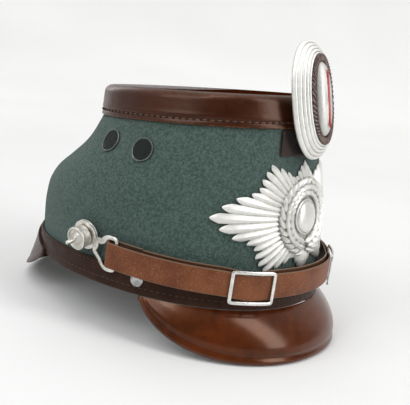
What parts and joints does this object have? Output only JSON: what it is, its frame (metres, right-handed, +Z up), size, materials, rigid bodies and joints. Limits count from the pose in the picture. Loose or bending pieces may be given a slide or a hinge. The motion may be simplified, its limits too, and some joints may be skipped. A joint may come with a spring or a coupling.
{
  "type": "shako hat",
  "caption": "Felt shako hat with a leather crown, front and rear peaks, a buckled chin strap on side posts, an oval cockade and a rayed front badge.",
  "frame": {"origin": "on the supporting surface, under the middle of the overall box; the hat rests on the edges of its front and rear peaks", "axes": "+Z up, -Y towards the front of the hat, +X towards the wearer's left"},
  "size_m": [0.2272, 0.2577, 0.2137],
  "materials": {
    "felt": "grey-green mottled wool felt, dull",
    "cap_leather": "glossy dark brown lacquered leather with a stitch line",
    "band_leather": "dark brown worn leather band with two stitch lines",
    "peak_leather": "glossy chestnut brown lacquered leather",
    "rear_peak_leather": "dark brown lacquered leather with a soft sheen",
    "strap_leather": "worn mid-brown leather with tan specks",
    "fitting_metal": "satin grey aluminium",
    "buckle_metal": "bright satin silver",
    "vent_metal": "black woven mesh in a dark rim",
    "cockade_silver": "frosted white-silver stamping",
    "cockade_ring": "dark copper-toned rope ring",
    "cockade_core": "finely textured white-silver dome",
    "cockade_inlay": "red enamel",
    "sleeve_leather": "black leather",
    "badge_silver": "frosted white-silver casting"
  },
  "bodies": {
    "root": {"badge_boss": "badge_silver", "badge_star": "badge_silver", "badge_wreath": "badge_silver", "base_band": "band_leather", "chin_strap_inner": "strap_leather", "chin_strap_outer": "strap_leather", "cockade_core": "cockade_core", "cockade_inlay": "cockade_inlay", "cockade_ring": "cockade_ring", "cockade_shell": "cockade_silver", "cockade_sleeve": "sleeve_leather", "cockade_tongue": "sleeve_leather", "crown_cap": "cap_leather", "felt_body": "felt", "front_peak": "peak_leather", "peak_rivet_left": "buckle_metal", "peak_rivet_right": "buckle_metal", "rear_peak": "rear_peak_leather", "side_post_left": "fitting_metal", "side_post_right": "fitting_metal", "strap_buckle_left": "buckle_metal", "strap_buckle_right": "buckle_metal", "strap_hook_left": "fitting_metal", "strap_hook_right": "fitting_metal", "vent_left_front": "vent_metal", "vent_left_rear": "vent_metal", "vent_right_front": "vent_metal", "vent_right_rear": "vent_metal"}
  },
  "joints": []
}
